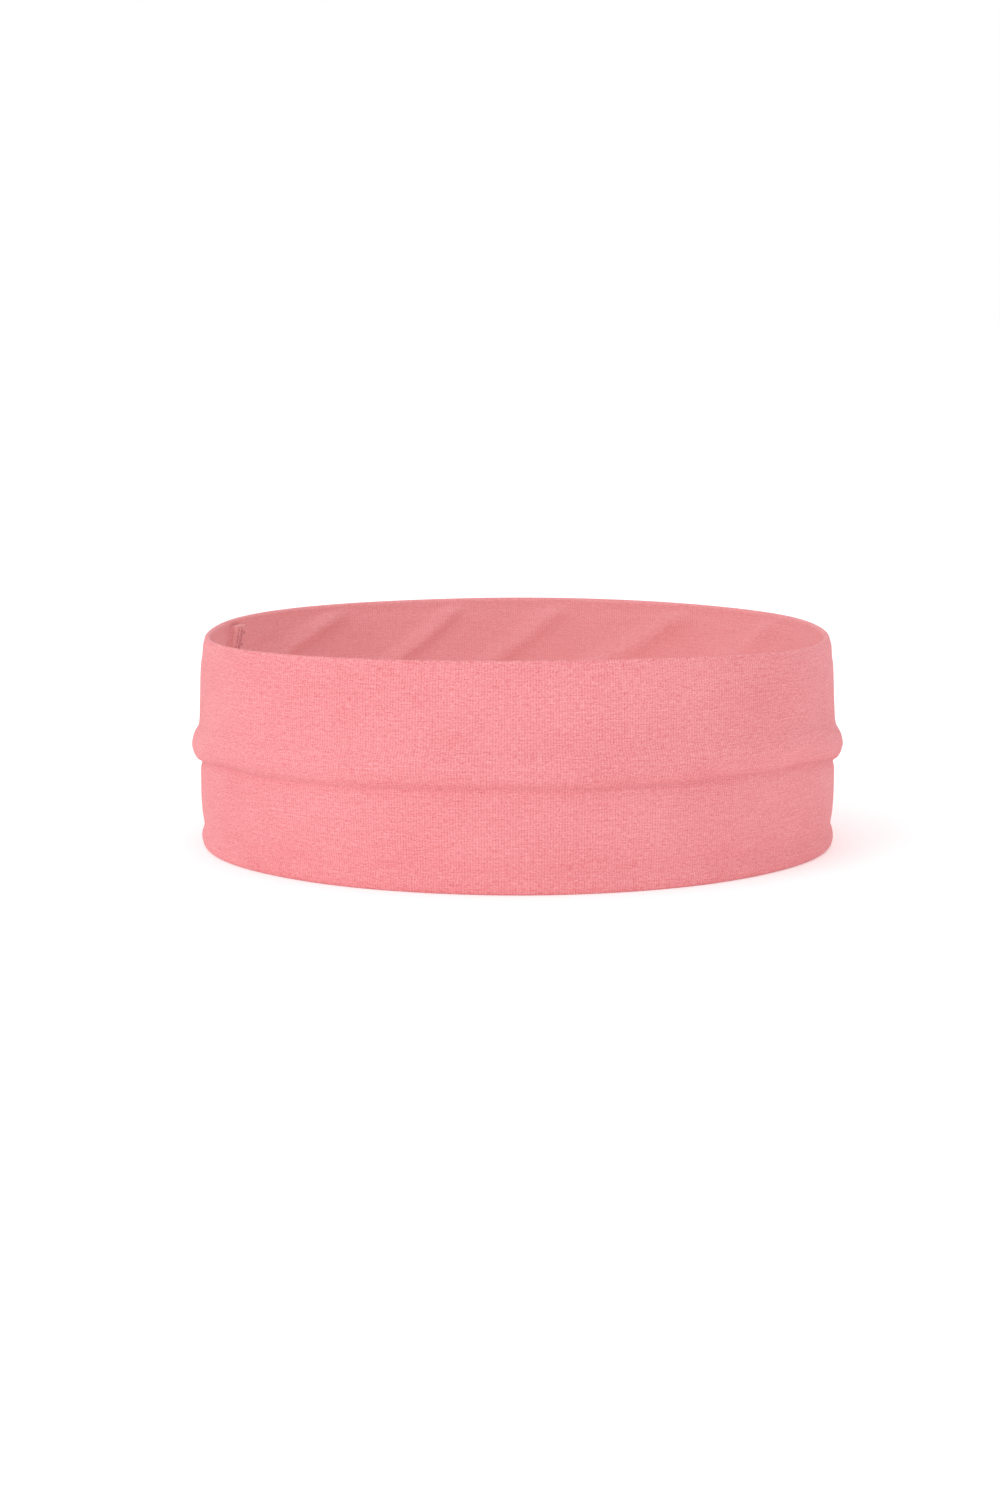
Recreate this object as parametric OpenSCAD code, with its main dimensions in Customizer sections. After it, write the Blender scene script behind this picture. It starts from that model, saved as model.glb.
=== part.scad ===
// A wide sports headband, sewn from one strip of jersey and standing as an open ring on its lower edge.
// The strip is folded along the top and bottom edges into an outer and an inner layer. A long overlocked
// seam joins its two long edges on the inner layer, and its allowance stands up between the layers and
// pushes the outer layer out into a soft ridge. A cross seam closes the ring, and its allowance lies
// against the inside. The origin is the middle of the ring on the surface it stands on, +Z is up, the
// front faces -Y, and all lengths are in millimetres.

/* [Ring] */
// Outside diameter of the ring at the top edge
rim_diameter = 160; // [140:1:190]
// Height from the bottom edge to the top edge
band_height = 54; // [48:1:64]

/* [Jersey] */
// Thickness of one layer of jersey
ply = 0.7; // [0.5:0.1:0.8]
// Space between the outer and the inner layer
layer_gap = 0.6; // [0.6:0.1:1]
// How far the bottom edge and the ridge lean out past the top edge
wall_lean = 1.5; // [0:0.1:3]

/* [Long seam] */
// Height of the long seam above the bottom edge
seam_height = 24; // [20:1:28]
// Width of the seam allowances, from the seam to the cut edges
allowance = 5.5; // [4.5:0.5:7]
// How far the hidden allowance pushes the outer layer out
ridge_out = 2; // [2:0.1:3]

/* [Cross seam] */
// Direction of the cross seam, counted from +X towards +Y, in degrees
cross_seam_angle = 163; // [100:1:170]
// How deep the outer layer dips at the cross seam
seam_groove = 0.4; // [0.2:0.1:0.6]

/* [Thread] */
// Thickness of the sewing thread
thread = 0.25; // [0.15:0.05:0.25]
// Length of one overlock stitch
stitch = 3; // [2.5:0.5:5]
// Distance from the seam to the first row of needle stitches
first_needle_row = 0.8; // [0.6:0.1:1]
// Distance from the seam to the second row of needle stitches
second_needle_row = 3; // [2.6:0.1:3.4]

/* [Hidden] */
$fn = 180;

// Clearance between neighbouring plies, and between a ply and the thread on it
clear = 0.03;
// The wall is two layers with the space between them, and each edge is a fold of half that radius
wall = 2 * ply + layer_gap;
fold = wall / 2;
fold_step = 15;
// The bottom fold is pressed flat where it rests, over this many degrees each side of its lowest line
flat_angle = 30;
bottom_fold_z = fold * cos(flat_angle);
top_fold_z = band_height - fold;

// The ring is open where the two outer plies turn in through the wall at the cross seam
rim_radius = rim_diameter / 2;
ply_pitch = ply + clear;
slot_half = turn(ply_pitch);
seam_left = cross_seam_angle + slot_half;
seam_right = cross_seam_angle - slot_half + 360;

// Degrees that a length takes up round the ring
function turn(length) = length * 180 / (PI * rim_radius);

// The wall's outside face, as its distance outside the top edge at each height, without the ridge
flare_z = 3.5;
groove_z = 7;
flare_dip = 0.6;
ridge_mid = seam_height + allowance / 2;
ridge_half = 0.9 * allowance;
lean_steps = [
    [0, wall_lean - flare_dip],
    [flare_z, wall_lean],
    [groove_z, wall_lean - flare_dip],
    [seam_height - allowance, wall_lean],
    [ridge_mid + ridge_half, wall_lean],
    [band_height, 0]];
outer_step = 1.5;

function lean(z) = lookup(z, lean_steps);
function bell(u) = exp(-pow(u, 4));
function outer_face(z) = lean(z) + ridge_out * bell((z - ridge_mid) / ridge_half);
function backwards(list) = [for (i = [len(list) - 1:-1:0]) list[i]];
function heights(low, high) = concat(low, [for (s = lean_steps) if (s[0] > low && s[0] < high) s[0]], high);

// Outline of a layer that follows the wall, between two depths inside its outside face
function layer(low, high, near, far) = let (z = heights(low, high))
    concat([for (h = z) [lean(h) - near, h]], [for (h = backwards(z)) [lean(h) - far, h]]);

// Points of a fold of radius r about [x, z], from angle a to angle b
function fold_arc(x, z, r, a, b, step) = [for (t = [a:step:b]) [x + r * cos(t), z + r * sin(t)]];

// Stack of the long seam, as distances outside the inner layer: lower looper, two plies, upper looper
lower_looper_at = clear + thread / 2;
inner_ply_at = 2 * clear + thread;
outer_ply_at = inner_ply_at + ply_pitch;
upper_looper_at = outer_ply_at + ply + clear + thread / 2;
needle_at = upper_looper_at + clear + thread;
inner_layer_depth = wall - ply;

// Stack of the cross seam, as distances inside the inner face: lower looper, four plies, upper looper
cross_plies = 4;
cross_clear = 0.1;
cross_lower_looper_at = cross_clear + thread / 2;
cross_first_ply_at = 2 * cross_clear + thread;
cross_upper_looper_at = cross_first_ply_at + cross_plies * ply_pitch + thread / 2;
cross_needle_at = cross_upper_looper_at + clear + thread;

// The allowance runs from its root to the right, to the cut edge
cross_root = cross_seam_angle - slot_half;
cut_edge_angle = cross_root - turn(allowance);

// Every solid of the cross seam bends at the same heights: two for each stitch
cross_low = 1;
cross_high = band_height - cross_low;
cross_turns = 2 * round((cross_high - cross_low) / stitch);
cross_heights = [for (i = [0:cross_turns]) cross_low + (cross_high - cross_low) * i / cross_turns];

// A profile carried round part of the ring, between two directions, and drawn as [distance outside
// the top edge, height]
module round_the_ring(from, to) {
    rotate([0, 0, from])
        rotate_extrude(angle = to - from)
            translate([rim_radius, 0])
                children();
}

// A thread with four sides, through rings of four corners each
module thread_through(rings) {
    last = len(rings) - 1;
    sides = [for (i = [0:last - 1], j = [0:3])
        [4 * i + j, 4 * i + (j + 1) % 4, 4 * i + 4 + (j + 1) % 4, 4 * i + 4 + j]];
    caps = [[3, 2, 1, 0], [for (j = [0:3]) 4 * last + j]];
    polyhedron(points = [for (r = rings) each r], faces = concat(sides, caps));
}

// Point in one direction, a distance outside the top edge, at one height
function ring_point(angle, out, z) = [(rim_radius + out) * cos(angle), (rim_radius + out) * sin(angle), z];

// Rings of a looper thread that runs between the seam and the cut edge, round the whole ring
leg_height = thread / sin(atan(stitch / 2 / allowance));
long_turns = 2 * round(PI * rim_diameter / stitch);
function looper_ring(angle, at, z0) = let (
        x0 = lean(z0) - inner_layer_depth + at - thread / 2,
        x1 = x0 + thread)
    [ring_point(angle, x0, z0), ring_point(angle, x0, z0 + leg_height),
     ring_point(angle, x1, z0 + leg_height), ring_point(angle, x1, z0)];
function looper_rings(at) = [for (i = [0:long_turns])
    looper_ring(seam_left + (seam_right - seam_left) * i / long_turns, at,
        seam_height + (i % 2 == 0 ? first_needle_row : allowance - leg_height))];

// Rings of a thread on the cross seam, a distance along from the seam
function cross_ring(z, at, along, width) = let (
        x1 = lean(z) - wall - at + thread / 2,
        x0 = x1 - thread,
        a1 = cross_root - turn(along),
        a0 = a1 - turn(width))
    [ring_point(a1, x0, z), ring_point(a1, x1, z), ring_point(a0, x1, z), ring_point(a0, x0, z)];
function cross_looper_rings(at) = [for (i = [0:cross_turns])
    cross_ring(cross_heights[i], at, i % 2 == 0 ? first_needle_row : allowance - leg_height, leg_height)];
function cross_needle_rings(row) = [for (z = cross_heights) cross_ring(z, cross_needle_at, row, thread)];

// Outside layer of the folded strip, with the whole of both folds
module outer_layer() {
    wall_heights = [for (z = [bottom_fold_z:outer_step:top_fold_z - outer_step / 2]) z];
    top_x = lean(top_fold_z) - fold;
    bottom_x = outer_face(bottom_fold_z) - fold;
    rim = fold_arc(top_x, top_fold_z, fold, 0, 180, fold_step);
    rim_inside = fold_arc(top_x, top_fold_z, fold - ply, 180, 0, -2 * fold_step);
    hem_inside = fold_arc(bottom_x, bottom_fold_z, fold - ply, 0, -180, -2 * fold_step);
    hem_in = fold_arc(bottom_x, bottom_fold_z, fold, 180, 270 - flat_angle, fold_step);
    hem_out = fold_arc(bottom_x, bottom_fold_z, fold, 270 + flat_angle, 360 - fold_step, fold_step);
    color("lightcoral")
        round_the_ring(seam_left, seam_right)
            polygon(concat(
                [for (z = wall_heights) [outer_face(z), z]],
                rim,
                rim_inside,
                [for (z = backwards(wall_heights)) if (z > bottom_fold_z) [outer_face(z) - ply, z]],
                hem_inside,
                hem_in,
                hem_out));
}

// Inside layer above the long seam
module inner_layer_upper() {
    color("salmon")
        round_the_ring(seam_left, seam_right)
            polygon(layer(seam_height + clear / 2, top_fold_z, inner_layer_depth, wall));
}

// Inside layer below the long seam
module inner_layer_lower() {
    color("lightsalmon")
        round_the_ring(seam_left, seam_right)
            polygon(layer(bottom_fold_z, seam_height - clear / 2, inner_layer_depth, wall));
}

// Outline of one long edge of the strip, turned out at the seam and up between the layers
function turned_up_ply(foot_low, foot_top, at) = let (top = seam_height + allowance) concat(
    [for (z = [foot_top, foot_low]) [lean(z) - inner_layer_depth, z]],
    [for (z = heights(foot_low, top)) [lean(z) - inner_layer_depth + at + ply, z]],
    [for (z = backwards(heights(foot_top, top))) [lean(z) - inner_layer_depth + at, z]]);

// The strip's two long edges, sewn together between the layers
module long_seam_allowance() {
    color("indianred")
        round_the_ring(seam_left, seam_right) {
            polygon(turned_up_ply(seam_height, seam_height + ply, inner_ply_at));
            polygon(turned_up_ply(seam_height - ply_pitch, seam_height - clear, outer_ply_at));
        }
}

// A row of needle stitches on the long seam's outside ply, a distance above the seam
module long_seam_needle_row(row) {
    z = seam_height + row;
    color("mistyrose")
        round_the_ring(seam_left, seam_right)
            translate([lean(z) - inner_layer_depth + needle_at, z])
                circle(d = thread);
}

module long_seam_left_needle_thread() {
    long_seam_needle_row(first_needle_row + thread / 2);
}

module long_seam_right_needle_thread() {
    long_seam_needle_row(second_needle_row);
}

// Looper threads zigzag over the two faces of the long seam's allowance
module long_seam_upper_looper_thread() {
    color("pink")
        thread_through(looper_rings(upper_looper_at));
}

module long_seam_lower_looper_thread() {
    color("lightpink")
        thread_through(looper_rings(lower_looper_at));
}

// One end of a layer, turned in at the cross seam and folded to the right against the inside.
// Plies 1 and 2 are the outer layer's ends, and reach out through the slot to the groove.
module turned_in_ply(i) {
    root = cross_seam_angle - (1 - i) * slot_half;
    near = wall + cross_first_ply_at + i * ply_pitch;
    inner_face = [for (z = heights(cross_low, cross_high)) [lean(z) - wall, z]];
    groove = [for (z = cross_heights) [outer_face(z) - seam_groove, z]];
    folded_near = [for (z = cross_heights) [lean(z) - near, z]];
    folded_far = [for (z = backwards(cross_heights)) [lean(z) - near - ply, z]];
    color("rosybrown") {
        round_the_ring(root - turn(ply), root)
            polygon(concat(i == 1 || i == 2 ? groove : inner_face, folded_far));
        round_the_ring(cut_edge_angle, root)
            polygon(concat(folded_near, folded_far));
    }
}

// The four turned-in ends of the doubled strip
module cross_seam_allowance() {
    for (i = [0:cross_plies - 1]) {
        turned_in_ply(i);
    }
}

// Rows of needle stitches on the face of the cross seam's allowance
module cross_seam_left_needle_thread() {
    color("mistyrose")
        thread_through(cross_needle_rings(first_needle_row));
}

module cross_seam_right_needle_thread() {
    color("mistyrose")
        thread_through(cross_needle_rings(second_needle_row));
}

// Looper threads zigzag over the two faces of the cross seam's allowance
module cross_seam_upper_looper_thread() {
    color("pink")
        thread_through(cross_looper_rings(cross_upper_looper_at));
}

module cross_seam_lower_looper_thread() {
    color("lightpink")
        thread_through(cross_looper_rings(cross_lower_looper_at));
}

outer_layer();
inner_layer_upper();
inner_layer_lower();
long_seam_allowance();
long_seam_left_needle_thread();
long_seam_right_needle_thread();
long_seam_upper_looper_thread();
long_seam_lower_looper_thread();
cross_seam_allowance();
cross_seam_left_needle_thread();
cross_seam_right_needle_thread();
cross_seam_upper_looper_thread();
cross_seam_lower_looper_thread();
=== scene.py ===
"""A wide jersey sports headband, standing open as a ring on a pale studio floor.

One strip of jersey is folded double along its top and bottom edges. A long overlocked seam joins its two
long edges on the inner layer, with its allowance between the layers. A cross seam closes the ring, and its
four-ply allowance lies against the inside. Lengths are in millimetres until a mesh is made, and in metres for
the studio.
"""
import math

import bmesh
import bpy
import numpy as np
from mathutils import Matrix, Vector


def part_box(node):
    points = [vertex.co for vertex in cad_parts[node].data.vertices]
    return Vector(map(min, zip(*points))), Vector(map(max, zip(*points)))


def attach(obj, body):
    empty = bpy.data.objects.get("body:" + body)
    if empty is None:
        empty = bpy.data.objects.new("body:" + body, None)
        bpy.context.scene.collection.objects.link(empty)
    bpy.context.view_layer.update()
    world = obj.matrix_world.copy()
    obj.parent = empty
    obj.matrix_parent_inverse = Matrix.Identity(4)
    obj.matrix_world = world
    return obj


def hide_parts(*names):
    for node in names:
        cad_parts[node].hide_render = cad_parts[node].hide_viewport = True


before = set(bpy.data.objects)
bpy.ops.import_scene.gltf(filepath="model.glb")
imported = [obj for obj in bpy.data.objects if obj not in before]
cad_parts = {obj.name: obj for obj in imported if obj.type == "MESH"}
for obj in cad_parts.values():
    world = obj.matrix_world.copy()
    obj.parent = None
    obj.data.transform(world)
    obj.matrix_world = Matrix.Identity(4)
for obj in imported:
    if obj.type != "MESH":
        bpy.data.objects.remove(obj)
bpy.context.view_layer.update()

MM = 0.001
FULL_TURN = 2 * math.pi

# The ring, as part.scad has it
RIM_RADIUS = 80.0
BAND_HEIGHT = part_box("outer_layer")[1][2] / MM
PLY = 0.7
WALL = 2.0
SEAM_ANGLE = math.radians(163)
ALLOWANCE = 5.5
THREAD = 0.25
STITCH = 3.0
NEEDLE_ROWS = {"left": 0.8, "right": 3.0}

# How the soft ring departs from that
RIM_LIFT = 0.4
RIM_SADDLE = 1.3
SQUARENESS = 0.049
CREASE_AT_SIDES = 21.9
CREASE_RISE_IN_FRONT = 3.85
CREASE_RISES_BY = 0.55
CREASE_TILT = 1.0
CREASE_RISE_AT_BACK = 2.5
SEAM_ABOVE_CREASE = 1.5
CROSS_SEAM_LEAN = math.radians(3.0)
LEANS_ABOVE = 45
LEANS_OVER = 9

# Folds along the foot and the rim
HALF_PLY = PLY / 2
FOLD_RADIUS = WALL / 2
FOLD_MID_RADIUS = FOLD_RADIUS - HALF_PLY
RIM_WALL = 1.5
RIM_FOLD_RADIUS = RIM_WALL / 2
RIM_NARROWS_OVER = 7.0

# Stack of the long seam, from the middle of the inner layer outwards
GAP = 0.03
INNER_PLY_AT = PLY + THREAD + 2 * GAP
OUTER_PLY_AT = INNER_PLY_AT + PLY + GAP
HAIRPIN_RADIUS = INNER_PLY_AT / 2
TURN_RADIUS = OUTER_PLY_AT - HAIRPIN_RADIUS
FOOT_TURN_RADIUS = 0.4
HAIRPIN_ABOVE_SEAM = 0.6
CUT_EDGE_ROUNDING = 0.15
THREAD_ON_PLY = HALF_PLY + GAP + THREAD / 2
NEEDLE_ON_PLY = THREAD_ON_PLY + GAP + THREAD

# Stack of the cross seam, from the inside face inwards
CROSS_LOOPER_AT = GAP + THREAD / 2
CROSS_PLY = 0.45
CROSS_PLY_PITCH = CROSS_PLY + GAP
CROSS_FIRST_PLY_AT = 2 * GAP + THREAD + CROSS_PLY / 2
CROSS_TOP_PLY_AT = CROSS_FIRST_PLY_AT + 3 * CROSS_PLY_PITCH
CROSS_THREAD_ON_PLY = CROSS_PLY / 2 + GAP + THREAD / 2


def smoothstep(x):
    """0 below 0, 1 above 1, and smooth between them."""
    x = np.clip(x, 0, 1)
    return x * x * (3 - 2 * x)


def smooth_curve(*points):
    """A function that runs smoothly through [x, y] points without overshooting them."""
    x, y = np.array(points, float).T
    slope = np.diff(y) / np.diff(x)
    tangent = np.zeros(len(x))
    for i in range(1, len(x) - 1):
        if slope[i - 1] * slope[i] > 0:
            tangent[i] = 2 / (1 / slope[i - 1] + 1 / slope[i])

    def value(at):
        at = np.clip(at, x[0], x[-1])
        i = np.clip(np.searchsorted(x, at, side="right") - 1, 0, len(x) - 2)
        step = x[i + 1] - x[i]
        t = (at - x[i]) / step
        ends = y[i] * (1 + 2 * t) * (1 - t) ** 2 + y[i + 1] * t * t * (3 - 2 * t)
        return ends + step * t * (1 - t) * (tangent[i] * (1 - t) - tangent[i + 1] * t)

    return value


# The outside face, as its distance outside the rim's radius: [height or distance, change]
WALL_LEAN = 2.2
foot_shape = smooth_curve((0, -0.5), (1, -0.15), (2.2, 0.1), (5.2, -0.65), (9, -0.2), (14, 0))
neck_shape = smooth_curve(
    (0, -1.75), (1, -1.65), (2.6, -1.25), (4.7, -1.12), (7.8, -0.7), (16, -0.3), (23, 0))
ridge_shape = smooth_curve(
    (-2.4, 0), (-0.3, -0.4), (0.8, 0.95), (1.5, 1.4), (2.3, 1.75),
    (4.2, 2.15), (6.3, 1.75), (7.2, 1.35), (9.2, 0.25), (11.5, 0))


def rim_height(angle):
    """Height of the rim, which dips a little towards the sides."""
    return BAND_HEIGHT + RIM_LIFT + RIM_SADDLE * np.sin(angle) ** 2 + 0.12 * np.sin(5 * angle + 0.6)


def crease_height(angle):
    """Height of the crease under the ridge, highest in front."""
    forward = -np.sin(angle)
    in_front = smoothstep(forward / CREASE_RISES_BY) * (CREASE_RISE_IN_FRONT + CREASE_TILT * np.cos(angle))
    at_back = CREASE_RISE_AT_BACK * np.where(forward < 0, forward ** 2, 0)
    wobble = 0.22 * np.sin(7 * angle + 1.1) + 0.12 * np.sin(19 * angle + 0.4)
    return CREASE_AT_SIDES + in_front + at_back + wobble


def seam_height(angle):
    return crease_height(angle) + SEAM_ABOVE_CREASE


def seam_direction(z):
    """Direction of the cross seam, which leans a little near the rim."""
    return SEAM_ANGLE + CROSS_SEAM_LEAN / 2 - CROSS_SEAM_LEAN * smoothstep((z - LEANS_ABOVE) / LEANS_OVER)


def drift(angle, z):
    """Slow unevenness of the whole wall, in and out."""
    return (0.22 * np.sin(3 * angle + 0.8) + 0.14 * np.sin(5 * angle + 2.1 + z / 25)
            + 0.07 * np.sin(11 * angle - z / 14))


def plan_radius(angle, z):
    """Radius of the ring at the rim's face, a little squarer towards the rim."""
    squarer = SQUARENESS * smoothstep(z / BAND_HEIGHT) * np.sin(2 * angle) ** 2
    return RIM_RADIUS * (1 + squarer) + drift(angle, z)


def wall_face(angle, z):
    """Outside face of the wall without its ridge."""
    lean = WALL_LEAN + foot_shape(z) + neck_shape(rim_height(angle) - z)
    return plan_radius(angle, z) + lean


def along_seam(angle, z):
    """Distance along the wall to the left of the cross seam, seen from inside the ring."""
    return RIM_RADIUS * ((angle - seam_direction(z) + math.pi) % FULL_TURN - math.pi)


GROOVE_DEPTH = 0.5
GROOVE_WIDTH = 1.1


def outer_face(angle, z):
    """Outside face of the outer layer, with the ridge, the seam's groove and slight puckers."""
    groove = GROOVE_DEPTH * np.exp(-(along_seam(angle, z) / GROOVE_WIDTH) ** 2)
    pucker = 0.05 * np.sin(23 * angle + z / 5) + 0.04 * np.sin(37 * angle - z / 7 + 1.3)
    return wall_face(angle, z) + ridge_shape(z - crease_height(angle)) - groove + pucker


def outer_mid(angle, z):
    """Middle of the outer layer's ply."""
    return outer_face(angle, z) - HALF_PLY


# Soft slanting wrinkles of the inner layer: angle and height at both ends, how far each stands in, its width
WRINKLES = [
    (152, 39, 125, 54, 2.1, 2.3),
    (122, 33, 101, 55, 1.7, 2.2),
    (104, 31, 80, 54, 1.4, 2.5),
    (80, 33, 54, 54, 1.3, 2.7),
    (50, 38, 30, 55, 0.9, 2.6),
    (24, 35, 11, 52, 0.6, 2.6),
    (10, 43, 8, 56, 1.5, 1.0),
    (135, 3, 112, 18, 0.7, 3.0),
    (92, 2, 64, 16, 0.6, 3.2),
    (196, 30, 183, 50, 0.6, 2.8),
    (232, 31, 208, 53, 0.8, 3.2),
    (262, 30, 246, 52, 0.6, 3.4),
    (298, 31, 276, 53, 0.8, 3.0),
    (331, 30, 314, 52, 0.7, 2.8),
    (222, 3, 203, 17, 0.6, 3.0),
    (286, 2, 262, 18, 0.6, 3.2),
    (342, 3, 322, 17, 0.6, 3.0),
]


def wrinkle_depth(angle, z):
    """How far the wrinkles stand in from the inner layer."""
    depth = np.zeros(np.broadcast(angle, z).shape)
    for angle_0, z_0, angle_1, z_1, most, width in WRINKLES:
        turned = (angle - math.radians(angle_0) + math.pi) % FULL_TURN - math.pi
        run = RIM_RADIUS * math.radians(angle_1 - angle_0)
        rise = z_1 - z_0
        length = math.hypot(run, rise)
        s = RIM_RADIUS * turned
        t = (s * run + (z - z_0) * rise) / length ** 2
        bow = 1.5 * np.sin(math.pi * np.clip(t, 0, 1))
        across = (s * rise - (z - z_0) * run) / length + bow
        ends = smoothstep((t + 0.15) / 0.4) * smoothstep((1.15 - t) / 0.35)
        depth += most * ends * np.exp(-(across / width) ** 2)
    edges = smoothstep((rim_height(angle) - 1 - z) / 3) * smoothstep((z - 1) / 3)
    seam = smoothstep(np.abs(z - seam_height(angle)) / 3)
    return depth * edges * seam


def inner_mid(angle, z):
    """Middle of the inner layer's ply."""
    below_fold = rim_height(angle) - RIM_FOLD_RADIUS - z
    thinner = (WALL - RIM_WALL) * smoothstep(1 - below_fold / RIM_NARROWS_OVER)
    return wall_face(angle, z) - WALL + thinner + HALF_PLY - wrinkle_depth(angle, z)


def inside_face(angle, z):
    return inner_mid(angle, z) - HALF_PLY


def arc(centre_r, centre_z, radius, start, stop, count):
    """Points of an arc about a centre in every direction of the ring, between two angles in degrees."""
    t = np.radians(np.linspace(start, stop, count))[:, None]
    return centre_r + radius * np.cos(t), centre_z + radius * np.sin(t)


def straight(face, angle, z_0, z_1, count, offset=0.0):
    """Points up or down the wall, following a face, without the two end heights."""
    t = np.linspace(0, 1, count + 2)[1:-1, None]
    z = z_0 + (z_1 - z_0) * t
    return face(angle, z) + offset, z


def strip_path(angle):
    """Middle of the jersey strip from one cut edge to the other, in every direction of the ring.

    The last number of each straight run and of each arc is its count of points.
    """
    seam = seam_height(angle)
    rim = rim_height(angle)
    turn_z = seam + HAIRPIN_ABOVE_SEAM
    top = seam + ALLOWANCE
    seam_r = inner_mid(angle, turn_z)
    hairpin_r = seam_r + HAIRPIN_RADIUS
    rim_z = rim - RIM_FOLD_RADIUS
    rim_r = wall_face(angle, rim_z) - RIM_FOLD_RADIUS
    hem_r = wall_face(angle, FOLD_RADIUS) - FOLD_RADIUS
    foot_z = turn_z - TURN_RADIUS
    parts = [
        straight(inner_mid, angle, top, turn_z, 9, offset=INNER_PLY_AT),
        arc(hairpin_r, turn_z, HAIRPIN_RADIUS, 0, -180, 9),
        straight(inner_mid, angle, turn_z, rim_z, 30),
        arc(rim_r, rim_z, RIM_FOLD_RADIUS - HALF_PLY, 180, 0, 11),
        straight(outer_mid, angle, rim_z, FOLD_RADIUS, 108),
        arc(hem_r, FOLD_RADIUS, FOLD_MID_RADIUS, 0, -180, 11),
        straight(inner_mid, angle, FOLD_RADIUS, foot_z - FOOT_TURN_RADIUS, 18),
        arc(seam_r + FOOT_TURN_RADIUS, foot_z - FOOT_TURN_RADIUS, FOOT_TURN_RADIUS, 180, 90, 5),
        arc(hairpin_r, turn_z, TURN_RADIUS, -88, 0, 7),
        straight(inner_mid, angle, turn_z, top, 9, offset=OUTER_PLY_AT),
    ]
    return (np.concatenate([np.broadcast_to(p[i], (len(p[0]), len(angle))) for p in parts]) for i in (0, 1))


def both_faces(across, up):
    """A ply of cloth about a path: a closed outline with rounded cut edges, and its length at each point."""
    step_x, step_y = np.gradient(across, axis=0), np.gradient(up, axis=0)
    size = np.hypot(step_x, step_y)
    step_x, step_y = step_x / size, step_y / size
    steps = np.hypot(np.diff(across, axis=0), np.diff(up, axis=0)).mean(axis=1)
    length = np.concatenate([[0], np.cumsum(steps)])
    one = across + step_y * HALF_PLY, up - step_x * HALF_PLY
    other = across - step_y * HALF_PLY, up + step_x * HALF_PLY
    ends = [
        (across[i] + d * CUT_EDGE_ROUNDING * step_x[i], up[i] + d * CUT_EDGE_ROUNDING * step_y[i])
        for i, d in ((-1, 1), (0, -1))]
    outline = [
        np.concatenate([one[k], ends[0][k][None], other[k][::-1], ends[1][k][None]]) for k in (0, 1)]
    return outline[0], outline[1], np.concatenate([length, length[-1:], length[::-1], length[:1]])


def new_object(name, verts, faces, uvs, material):
    """A smooth closed mesh piece in millimetres, with cloth lengths as its UVs, riding on the band."""
    mesh = bpy.data.meshes.new(name)
    mesh.from_pydata((np.asarray(verts) * MM).tolist(), [], faces)
    layer = mesh.uv_layers.new(name="cloth")
    layer.data.foreach_set("uv", np.asarray(uvs, float).ravel())
    work = bmesh.new()
    work.from_mesh(mesh)
    bmesh.ops.recalc_face_normals(work, faces=work.faces)
    work.to_mesh(mesh)
    work.free()
    mesh.shade_smooth()
    mesh.materials.append(material)
    piece = bpy.data.objects.new(name, mesh)
    bpy.context.scene.collection.objects.link(piece)
    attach(piece, "root")
    return piece


def grid_faces(rows, columns, closed_rows, closed_columns, u, v):
    """Quads over a grid of points, and each corner's UV. Where the columns close, u has one value more."""
    faces, uvs = [], []
    for i in range(rows if closed_rows else rows - 1):
        k = (i + 1) % rows
        for j in range(columns if closed_columns else columns - 1):
            m = (j + 1) % columns
            faces.append((i * columns + j, i * columns + m, k * columns + m, k * columns + j))
            uvs += [(u[j], v[i]), (u[j + 1], v[i]), (u[j + 1], v[k]), (u[j], v[k])]
    return faces, uvs


def tube(points, radius, sides=6, closed=False):
    """Vertices, faces and UVs of a round thread through points."""
    points = np.asarray(points, float)
    count = len(points)
    if closed:
        tangent = np.roll(points, -1, axis=0) - np.roll(points, 1, axis=0)
    else:
        tangent = np.gradient(points, axis=0)
    tangent /= np.linalg.norm(tangent, axis=1)[:, None]
    radial = points * [1, 1, 0]
    radial /= np.linalg.norm(radial, axis=1)[:, None]
    side = np.cross(tangent, radial)
    side /= np.linalg.norm(side, axis=1)[:, None]
    up = np.cross(side, tangent)
    turn = np.linspace(0, FULL_TURN, sides, endpoint=False)
    rings = points[None] + radius * (
        np.cos(turn)[:, None, None] * side[None] + np.sin(turn)[:, None, None] * up[None])
    steps = np.linalg.norm(np.diff(np.vstack([points, points[:1]]), axis=0), axis=1)
    u = np.concatenate([[0], np.cumsum(steps)])
    v = np.arange(sides) / sides
    faces, uvs = grid_faces(sides, count, True, closed, u, v)
    if not closed:
        for j, order in ((0, 1), (count - 1, -1)):
            faces.append([i * count + j for i in range(sides)][::order])
            uvs += [(u[j], v[i]) for i in range(sides)]
    return rings.reshape(-1, 3), faces, uvs


def at(angle, radius, z):
    """Points of the ring in x, y and z."""
    angle, radius, z = np.broadcast_arrays(angle, radius, z)
    return np.stack([radius * np.cos(angle), radius * np.sin(angle), z], axis=-1)


# Materials

def link_math(tree, operation, a, b=None, c=None):
    """A Math node with inputs that are sockets or numbers, and its output."""
    node = tree.nodes.new("ShaderNodeMath")
    node.operation = operation
    for socket, value in zip(node.inputs, (a, b, c)):
        if value is None:
            continue
        if isinstance(value, (int, float)):
            socket.default_value = value
        else:
            tree.links.new(value, socket)
    return node.outputs[0]


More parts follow.
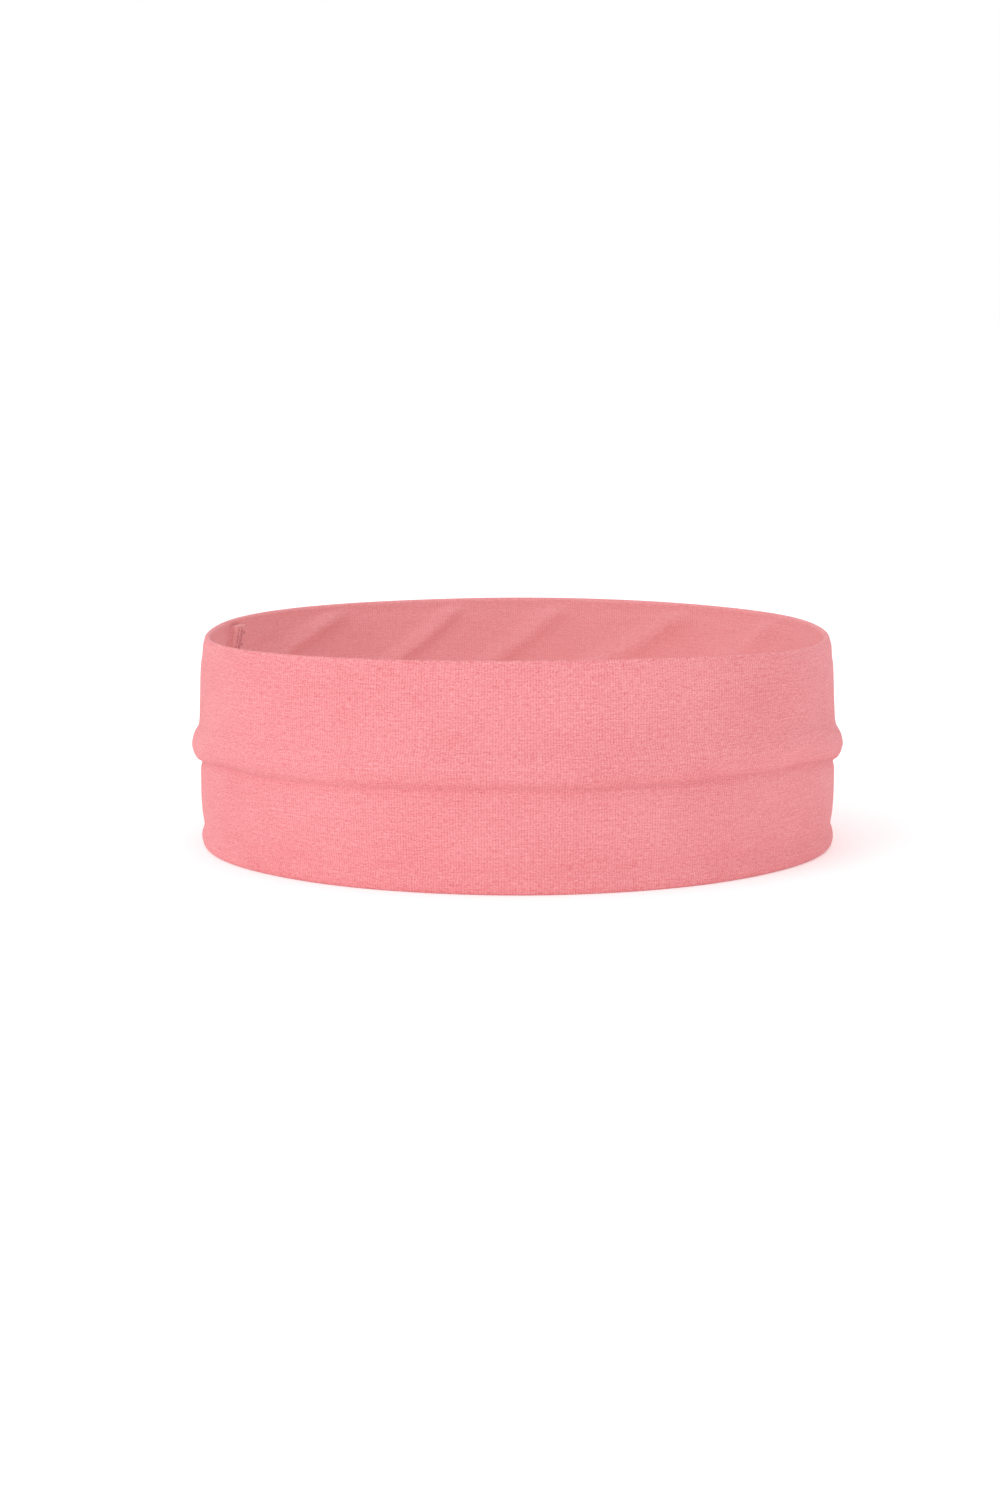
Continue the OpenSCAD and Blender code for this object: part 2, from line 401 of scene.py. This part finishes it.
def cloth_noise(tree, u, v, scale_u, scale_v, detail=2.0):
    """Noise over the cloth, with a scale per millimetre each way, about 0."""
    place = tree.nodes.new("ShaderNodeCombineXYZ")
    tree.links.new(link_math(tree, "MULTIPLY", u, scale_u), place.inputs[0])
    tree.links.new(link_math(tree, "MULTIPLY", v, scale_v), place.inputs[1])
    noise = tree.nodes.new("ShaderNodeTexNoise")
    noise.inputs["Scale"].default_value = 1.0
    noise.inputs["Detail"].default_value = detail
    tree.links.new(place.outputs[0], noise.inputs["Vector"])
    return link_math(tree, "SUBTRACT", noise.outputs["Fac"], 0.5)


WALE = 0.66
COURSE = 0.5
# Painted light: the inner side of the band is tinted paler and greyer, to stand in for light on the shaded
# inside of the ring; the cloth is the same on both layers.
PAINTED_LIGHT_MASK = "inside_painted_light"
INSIDE_PAINTED_LIGHT = (0.79, 0.385, 0.380)
INSIDE_PAINTED_LIGHT_BY = 0.35


def jersey_material(name, dark, light):
    """Fine single jersey: upright wales of small V stitches, heathered along its courses, softly fuzzy, and
    tinted paler on its inner side as painted light.
    """
    material = bpy.data.materials.new(name)
    material.use_nodes = True
    tree = material.node_tree
    shader = tree.nodes["Principled BSDF"]
    uv = tree.nodes.new("ShaderNodeUVMap")
    uv.uv_map = "cloth"
    split = tree.nodes.new("ShaderNodeSeparateXYZ")
    tree.links.new(uv.outputs[0], split.inputs[0])
    u, v = split.outputs[0], split.outputs[1]

    wander = link_math(tree, "MULTIPLY", cloth_noise(tree, u, v, 0.15, 0.15), 0.25)
    across = link_math(tree, "DIVIDE", link_math(tree, "ADD", u, wander), WALE)
    wale = link_math(tree, "ABSOLUTE", link_math(tree, "SINE", link_math(tree, "MULTIPLY", across, math.pi)))
    leg = link_math(tree, "PINGPONG", across, 0.5)
    course = link_math(tree, "DIVIDE", v, COURSE)
    slanted = link_math(tree, "ADD", course, link_math(tree, "MULTIPLY", leg, 1.6))
    stitch = link_math(tree, "SINE", link_math(tree, "MULTIPLY", slanted, FULL_TURN))

    slub = cloth_noise(tree, u, v, 0.12, 1.9, 3.0)
    grain = cloth_noise(tree, u, v, 2.3, 3.1, 2.0)
    fleck = cloth_noise(tree, u, v, 0.7, 2.8, 2.0)
    mottle = cloth_noise(tree, u, v, 0.035, 0.06, 1.0)
    tone = link_math(tree, "MULTIPLY_ADD", wale, 0.30, 0.29)
    for pattern, amount in ((stitch, 0.06), (slub, 0.55), (grain, 1.5), (fleck, 1.05), (mottle, 0.25)):
        tone = link_math(tree, "ADD", tone, link_math(tree, "MULTIPLY", pattern, amount))
    colour = tree.nodes.new("ShaderNodeMix")
    colour.data_type = "RGBA"
    tree.links.new(tone, colour.inputs[0])
    colour.inputs[6].default_value = (*dark, 1)
    colour.inputs[7].default_value = (*light, 1)
    # Painted light: the paler tint is mixed in where the attribute marks the inner side.
    side = tree.nodes.new("ShaderNodeAttribute")
    side.attribute_name = PAINTED_LIGHT_MASK
    painted_light_mix = tree.nodes.new("ShaderNodeMix")
    painted_light_mix.data_type = "RGBA"
    tree.links.new(link_math(tree, "MULTIPLY", side.outputs["Fac"], INSIDE_PAINTED_LIGHT_BY), painted_light_mix.inputs[0])
    tree.links.new(colour.outputs[2], painted_light_mix.inputs[6])
    painted_light_mix.inputs[7].default_value = (*INSIDE_PAINTED_LIGHT, 1)
    tree.links.new(painted_light_mix.outputs[2], shader.inputs["Base Color"])

    relief = link_math(tree, "MULTIPLY", wale, 0.6)
    for pattern, amount in ((stitch, 0.15), (grain, 1.6), (fleck, 0.7)):
        relief = link_math(tree, "ADD", relief, link_math(tree, "MULTIPLY", pattern, amount))
    bump = tree.nodes.new("ShaderNodeBump")
    bump.inputs["Strength"].default_value = 0.5
    bump.inputs["Distance"].default_value = 0.15 * MM
    tree.links.new(relief, bump.inputs["Height"])
    tree.links.new(bump.outputs[0], shader.inputs["Normal"])

    rough = link_math(tree, "MULTIPLY_ADD", grain, 0.2, 0.86)
    tree.links.new(rough, shader.inputs["Roughness"])
    shader.inputs["Specular IOR Level"].default_value = 0.2
    shader.inputs["Sheen Weight"].default_value = 0.13
    shader.inputs["Sheen Roughness"].default_value = 0.45
    shader.inputs["Sheen Tint"].default_value = (1.0, 0.80, 0.80, 1)
    return material


def thread_material(name, dark, light):
    """Twisted sewing thread."""
    material = bpy.data.materials.new(name)
    material.use_nodes = True
    tree = material.node_tree
    shader = tree.nodes["Principled BSDF"]
    uv = tree.nodes.new("ShaderNodeUVMap")
    uv.uv_map = "cloth"
    split = tree.nodes.new("ShaderNodeSeparateXYZ")
    tree.links.new(uv.outputs[0], split.inputs[0])
    u, v = split.outputs[0], split.outputs[1]
    turns = link_math(tree, "ADD", link_math(tree, "MULTIPLY", u, 2.4), v)
    twist = link_math(tree, "SINE", link_math(tree, "MULTIPLY", turns, FULL_TURN))
    fuzz = cloth_noise(tree, u, v, 3.0, 4.0)
    tone = link_math(tree, "ADD", link_math(tree, "MULTIPLY_ADD", twist, 0.3, 0.5), fuzz)
    colour = tree.nodes.new("ShaderNodeMix")
    colour.data_type = "RGBA"
    tree.links.new(tone, colour.inputs[0])
    colour.inputs[6].default_value = (*dark, 1)
    colour.inputs[7].default_value = (*light, 1)
    tree.links.new(colour.outputs[2], shader.inputs["Base Color"])
    bump = tree.nodes.new("ShaderNodeBump")
    bump.inputs["Strength"].default_value = 0.5
    bump.inputs["Distance"].default_value = 0.05 * MM
    tree.links.new(twist, bump.inputs["Height"])
    tree.links.new(bump.outputs[0], shader.inputs["Normal"])
    shader.inputs["Roughness"].default_value = 0.6
    shader.inputs["Sheen Weight"].default_value = 0.2
    return material


jersey = jersey_material("jersey", (0.650, 0.149, 0.166), (0.880, 0.380, 0.400))
needle_thread = thread_material("needle_thread", (0.66, 0.20, 0.22), (0.90, 0.40, 0.42))
looper_thread = thread_material("looper_thread", (0.70, 0.24, 0.26), (0.92, 0.46, 0.48))

# The strip of jersey


def painted_light_share(angle, r, z):
    """Share of the painted light on the inner side: 0 on the outer side of the wall, 1 on its inner side, and
    between them round the folds.
    """
    return smoothstep(2 * (wall_face(angle, z) - r) / WALL - 0.5)


# Directions of the strip's columns in degrees, closer together by the cross seam
COARSE_COLUMNS = 400
FINE_FROM = 158.5
FIRST_FINE = 158.6
FINE_TO = 167.5
FINE_STEP = 0.2
coarse = np.radians(np.arange(0, 360, 360 / COARSE_COLUMNS))
coarse = coarse[(coarse < math.radians(FINE_FROM)) | (coarse > math.radians(FINE_TO))]
ring = np.sort(np.concatenate([coarse, np.radians(np.arange(FIRST_FINE, FINE_TO, FINE_STEP))]))

path_r, path_z = strip_path(ring)
outline_r, outline_z, outline_length = both_faces(path_r, path_z)
strip_verts = at(ring[None], outline_r, outline_z).reshape(-1, 3)
ring_length = RIM_RADIUS * np.concatenate([ring, ring[:1] + FULL_TURN])
strip_faces, strip_uvs = grid_faces(len(outline_r), len(ring), True, True, ring_length, outline_length)
strip = new_object("jersey_strip", strip_verts, strip_faces, strip_uvs, jersey)
# Painted light: the strip's inner side takes the paler tint.
inside_painted_light = strip.data.attributes.new(PAINTED_LIGHT_MASK, "FLOAT", "POINT")
inside_painted_light.data.foreach_set("value", painted_light_share(ring[None], outline_r, outline_z).ravel())
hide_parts("outer_layer", "inner_layer_upper", "inner_layer_lower", "long_seam_allowance")

# The cross seam's allowance: two folded pairs of plies, one from each end of the band

PLIES_ABOVE_FLOOR = 0.8
PLIES_BELOW_RIM = 0.3
POINTS_UP_PLIES = 40
ROOT_STARTS_AT = -0.9
ROOT_RISES_OVER = 1.7
ROOT_SINKS_BY = 0.4
FREE_EDGE_LIFT = 0.2


def allowance_lift(s, z, level):
    """How far a level of the cross seam's stack lies in from the inside face, along its width."""
    root = smoothstep((s - ROOT_STARTS_AT) / ROOT_RISES_OVER)
    wave = 1 + 0.5 * np.sin(z / 6.5) + 0.3 * np.sin(z / 2.9 + 1)
    free = FREE_EDGE_LIFT * smoothstep(s / ALLOWANCE) * wave
    return level * root - ROOT_SINKS_BY * (1 - root) + free * level / CROSS_TOP_PLY_AT


def on_cross_seam(s, z, level):
    """A point of the cross seam's stack, s to the right of the seam, seen from inside the ring."""
    angle = seam_direction(z) - s / RIM_RADIUS
    return at(angle, inside_face(angle, z) - allowance_lift(s, z, level), z)


def plies_pair(pair):
    """Vertices, faces and UVs of one end of the folded band: two plies joined at both folds."""
    low = PLIES_ABOVE_FLOOR + FOLD_RADIUS
    high = BAND_HEIGHT - PLIES_BELOW_RIM - FOLD_RADIUS
    middle = CROSS_FIRST_PLY_AT + (2 * pair + 0.5) * CROSS_PLY_PITCH
    half = CROSS_PLY_PITCH / 2
    z_up = np.linspace(low, high, POINTS_UP_PLIES)
    over = np.radians(np.linspace(0, 180, 9))[1:-1]
    level = np.concatenate([
        np.full(POINTS_UP_PLIES, middle - half), middle - half * np.cos(over),
        np.full(POINTS_UP_PLIES, middle + half), middle + half * np.cos(over)])
    z = np.concatenate([z_up, high + half * np.sin(over), z_up[::-1], low - half * np.sin(over)])
    count = len(z)
    step_level = np.roll(level, -1) - np.roll(level, 1)
    step_z = np.roll(z, -1) - np.roll(z, 1)
    size = np.hypot(step_level, step_z)
    length = np.concatenate([[0], np.cumsum(np.hypot(np.diff(level), np.diff(z)))])
    stations = np.array([-1.0, -0.6, -0.2, 0.2, 0.7, 1.5, 2.6, 3.8, 4.8, ALLOWANCE])
    sheets = []
    for side in (1, -1):
        side_level = level + side * CROSS_PLY / 2 * step_z / size
        side_z = z - side * CROSS_PLY / 2 * step_level / size
        fray = 0.12 * np.sin(z * 5) + 0.08 * np.sin(z * 11 + 1)
        sheets.append([
            on_cross_seam(s + (fray if s == ALLOWANCE else 0), side_z, side_level) for s in stations])
    rows = sheets[0] + sheets[1][::-1]
    widths = np.concatenate([stations, stations[::-1]])
    faces, uvs = grid_faces(len(rows), count, True, True, np.append(length, length[-1] + 1), widths)
    uvs = [(b, a) for a, b in uvs]
    return np.concatenate(rows), faces, uvs


pair_verts, pair_faces, pair_uvs = [], [], []
for pair in (0, 1):
    verts, faces, uvs = plies_pair(pair)
    first = sum(len(v) for v in pair_verts)
    pair_verts.append(verts)
    pair_faces += [tuple(first + i for i in face) for face in faces]
    pair_uvs += uvs
cross_allowance = new_object(
    "cross_seam_plies", np.concatenate(pair_verts), pair_faces, pair_uvs, jersey)
# Painted light: the cross seam's plies take the whole paler tint, so they blend with the inside wall.
inside_painted_light = cross_allowance.data.attributes.new(PAINTED_LIGHT_MASK, "FLOAT", "POINT")
inside_painted_light.data.foreach_set("value", np.ones(len(cross_allowance.data.vertices)))
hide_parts("cross_seam_allowance")

# Sewing threads

POINTS_PER_STITCH = 12
NEEDLE_DIP = 0.35
CROSS_THREADS_FROM = 2.0
CROSS_THREADS_BELOW_RIM = 1.5


def zigzag(t):
    """Rounded zigzag between 0 and 1, once for each stitch."""
    wave = np.cos(FULL_TURN * t)
    return 0.5 - 0.5 * np.sign(wave) * np.abs(wave) ** 0.7


def long_seam_thread(name, node, level, low, high, material, dip=0.0):
    """A thread round the whole ring on the long seam's allowance, between two heights above the seam."""
    stitches = round(FULL_TURN * RIM_RADIUS / STITCH)
    t = np.arange(stitches * POINTS_PER_STITCH) / POINTS_PER_STITCH
    angle = SEAM_ANGLE + FULL_TURN * t / stitches
    z = seam_height(angle) + low + (high - low) * zigzag(t)
    radius = inner_mid(angle, z) + level - dip * np.cos(FULL_TURN * t) ** 8
    verts, faces, uvs = tube(at(angle, radius, z), THREAD / 2, closed=True)
    piece = new_object(name, verts, faces, uvs, material)
    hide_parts(node)
    return piece


def cross_seam_thread(name, node, level, near, far, material, dip=0.0):
    """A thread up the cross seam's allowance, between two distances from the seam."""
    low, high = CROSS_THREADS_FROM, BAND_HEIGHT - CROSS_THREADS_BELOW_RIM
    stitches = round((high - low) / STITCH)
    t = np.arange(stitches * POINTS_PER_STITCH + 1) / POINTS_PER_STITCH
    z = low + (high - low) * t / stitches
    s = near + (far - near) * zigzag(t)
    points = on_cross_seam(s, z, level - dip * np.cos(FULL_TURN * t) ** 8)
    verts, faces, uvs = tube(points, THREAD / 2)
    piece = new_object(name, verts, faces, uvs, material)
    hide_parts(node)
    return piece


LOOPER_FROM = NEEDLE_ROWS["left"]
LOOPER_TO = ALLOWANCE - THREAD
LOWER_LOOPER_FROM = 1.2
CROSS_UPPER_LOOPER_AT = CROSS_TOP_PLY_AT + CROSS_THREAD_ON_PLY
CROSS_NEEDLE_AT = CROSS_UPPER_LOOPER_AT + GAP + THREAD
long_threads = [
    long_seam_thread("long_seam_upper_looper", "long_seam_upper_looper_thread", OUTER_PLY_AT + THREAD_ON_PLY,
                     LOOPER_FROM, LOOPER_TO, looper_thread),
    long_seam_thread("long_seam_lower_looper", "long_seam_lower_looper_thread", INNER_PLY_AT - THREAD_ON_PLY,
                     LOOPER_FROM, LOOPER_TO, looper_thread),
]
cross_threads = [
    cross_seam_thread("cross_seam_upper_looper", "cross_seam_upper_looper_thread",
                      CROSS_UPPER_LOOPER_AT, LOOPER_FROM, LOOPER_TO, looper_thread),
    cross_seam_thread("cross_seam_lower_looper", "cross_seam_lower_looper_thread",
                      CROSS_LOOPER_AT, LOWER_LOOPER_FROM, LOOPER_TO, looper_thread),
]
for side, row in NEEDLE_ROWS.items():
    long_threads.append(long_seam_thread(
        f"long_seam_{side}_needle", f"long_seam_{side}_needle_thread", OUTER_PLY_AT + NEEDLE_ON_PLY,
        row, row, needle_thread, dip=NEEDLE_DIP))
    cross_threads.append(cross_seam_thread(
        f"cross_seam_{side}_needle", f"cross_seam_{side}_needle_thread", CROSS_NEEDLE_AT,
        row, row, needle_thread, dip=NEEDLE_DIP))

# Studio

FLOOR_RADII = (0.001, 0.3, 1.0, 4.0, 20.0)
FLOOR_SIDES = 96
FLOOR_GLOW = 0.2
KEY_LIGHT_AT = (-0.9, -1.0, 0.9)
KEY_LIGHT_FACES = (0, 0, 0.03)
KEY_LIGHT_SIZE = 0.9
KEY_LIGHT_POWER = 5.9
WORLD_STRENGTH = 1.0


def studio_floor():
    """A wide round pale floor."""
    verts = [(r * math.cos(a), r * math.sin(a), 0.0)
             for r in FLOOR_RADII for a in np.linspace(0, FULL_TURN, FLOOR_SIDES, endpoint=False)]
    rings = len(FLOOR_RADII)
    faces, _ = grid_faces(rings, FLOOR_SIDES, False, True, np.zeros(FLOOR_SIDES + 1), np.zeros(rings))
    mesh = bpy.data.meshes.new("studio_floor")
    mesh.from_pydata(verts, [], faces)
    floor = bpy.data.objects.new("studio_floor", mesh)
    bpy.context.scene.collection.objects.link(floor)
    material = bpy.data.materials.new("studio_paper")
    material.use_nodes = True
    shader = material.node_tree.nodes["Principled BSDF"]
    shader.inputs["Base Color"].default_value = (0.93, 0.93, 0.93, 1)
    shader.inputs["Roughness"].default_value = 0.9
    shader.inputs["Specular IOR Level"].default_value = 0.1
    shader.inputs["Emission Color"].default_value = (1, 1, 1, 1)
    shader.inputs["Emission Strength"].default_value = FLOOR_GLOW
    mesh.materials.append(material)


def soft_light(name, place, target, size, power):
    """A square area light that faces a point."""
    data = bpy.data.lights.new(name, "AREA")
    data.shape = "SQUARE"
    data.size = size
    data.energy = power
    light = bpy.data.objects.new(name, data)
    light.location = place
    bpy.context.scene.collection.objects.link(light)
    away = light.location - Vector(target)
    light.rotation_mode = "QUATERNION"
    light.rotation_quaternion = away.to_track_quat("Z", "Y")


studio_floor()
soft_light("key_light", KEY_LIGHT_AT, KEY_LIGHT_FACES, KEY_LIGHT_SIZE, KEY_LIGHT_POWER)

world = bpy.data.worlds.new("studio_world")
bpy.context.scene.world = world
world.use_nodes = True
world.node_tree.nodes["Background"].inputs[0].default_value = (1, 1, 1, 1)
world.node_tree.nodes["Background"].inputs[1].default_value = WORLD_STRENGTH
bpy.context.scene.view_settings.view_transform = "Standard"

# Camera, a little above the rim and in front
CAMERA_AT = (0, -0.8141, 0.1382)
CAMERA_LENS = 75.6
CAMERA_SENSOR = 36
CAMERA_LOOKS_DOWN = 8.04
CAMERA_TURN = 0.305
camera_data = bpy.data.cameras.new("camera")
camera_data.lens = CAMERA_LENS
camera_data.sensor_width = CAMERA_SENSOR
camera = bpy.data.objects.new("camera", camera_data)
camera.location = CAMERA_AT
camera.rotation_euler = (math.radians(90 - CAMERA_LOOKS_DOWN), 0, math.radians(CAMERA_TURN))
bpy.context.scene.collection.objects.link(camera)
bpy.context.scene.camera = camera
